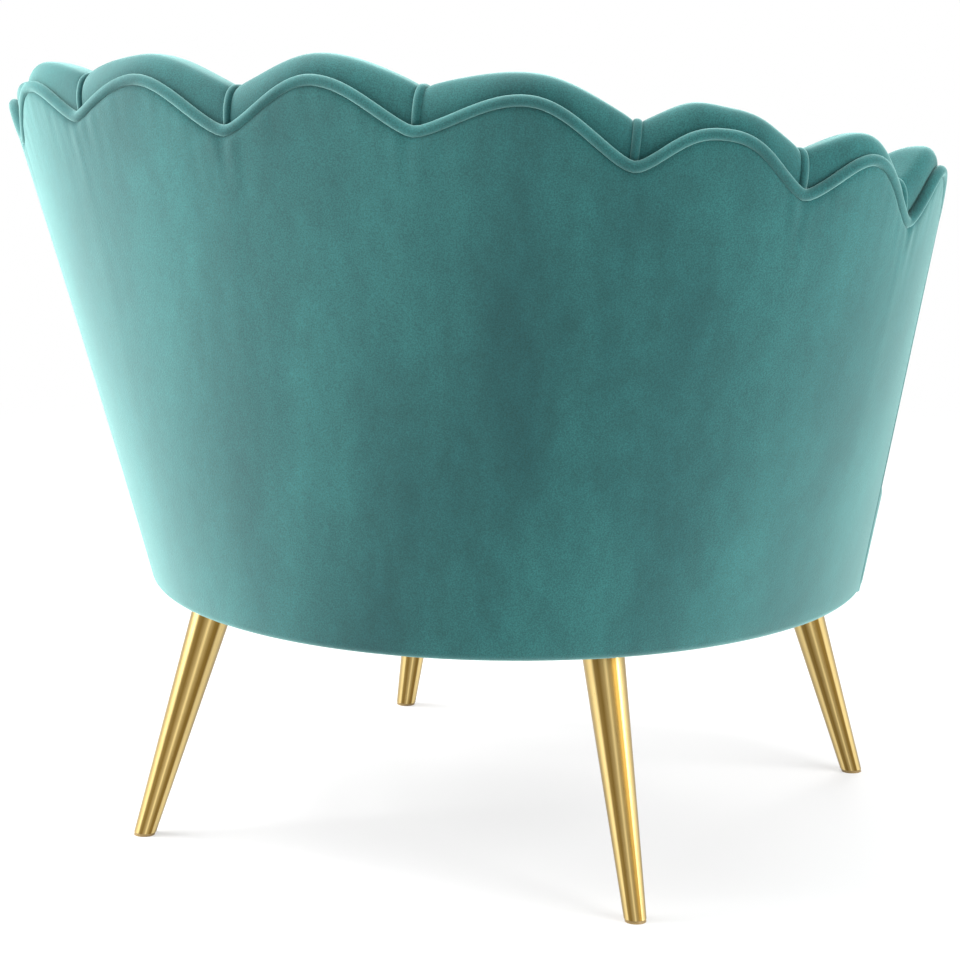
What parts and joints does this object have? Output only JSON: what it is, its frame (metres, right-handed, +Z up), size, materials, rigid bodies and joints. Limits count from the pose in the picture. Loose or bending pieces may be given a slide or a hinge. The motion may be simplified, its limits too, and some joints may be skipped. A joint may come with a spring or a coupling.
{
  "type": "upholstered armchair",
  "caption": "Tub armchair with a scalloped channelled velvet back and arms, a round seat and splayed tapered metal legs.",
  "frame": {"origin": "on the floor, under the middle of the chair's overall length and width", "axes": "+Z up, the sitter faces -Y, the sitter's left is +X"},
  "size_m": [0.9638, 0.7593, 0.802],
  "materials": {
    "velvet": "teal velvet",
    "brass": "brushed, satin",
    "plywood": "bare",
    "foam": "upholstery foam",
    "webbing": "elastic webbing",
    "dust_cloth": "black cloth",
    "steel": "plated",
    "plug": "black"
  },
  "bodies": {
    "root": {"apron_cover": "velvet", "apron_padding": "foam", "apron_panel": "plywood", "arm_front_left": "velvet", "arm_front_right": "velvet", "arm_post_left": "plywood", "arm_post_right": "plywood", "back_panel": "plywood", "base_board": "plywood", "channel_pad_1": "velvet", "channel_pad_2": "velvet", "channel_pad_3": "velvet", "channel_pad_4": "velvet", "channel_pad_5": "velvet", "channel_pad_6": "velvet", "channel_pad_7": "velvet", "channel_pad_8": "velvet", "channel_pad_9": "velvet", "channel_welts": "velvet", "cushion_welts": "velvet", "dust_cover": "dust_cloth", "foot_plug_front_left": "plug", "foot_plug_front_right": "plug", "foot_plug_rear_left": "plug", "foot_plug_rear_right": "plug", "frame_screws": "steel", "leg_front_left": "brass", "leg_front_right": "brass", "leg_plate_front_left": "steel", "leg_plate_front_right": "steel", "leg_plate_rear_left": "steel", "leg_plate_rear_right": "steel", "leg_rear_left": "brass", "leg_rear_right": "brass", "outer_back_cover": "velvet", "outer_padding": "foam", "plate_screws": "steel", "platform_foam": "foam", "rim_welt": "velvet", "seat_cushion": "velvet", "seat_ring": "plywood", "support_blocks": "plywood", "webbing_crosswise": "webbing", "webbing_lengthwise": "webbing"}
  },
  "joints": []
}
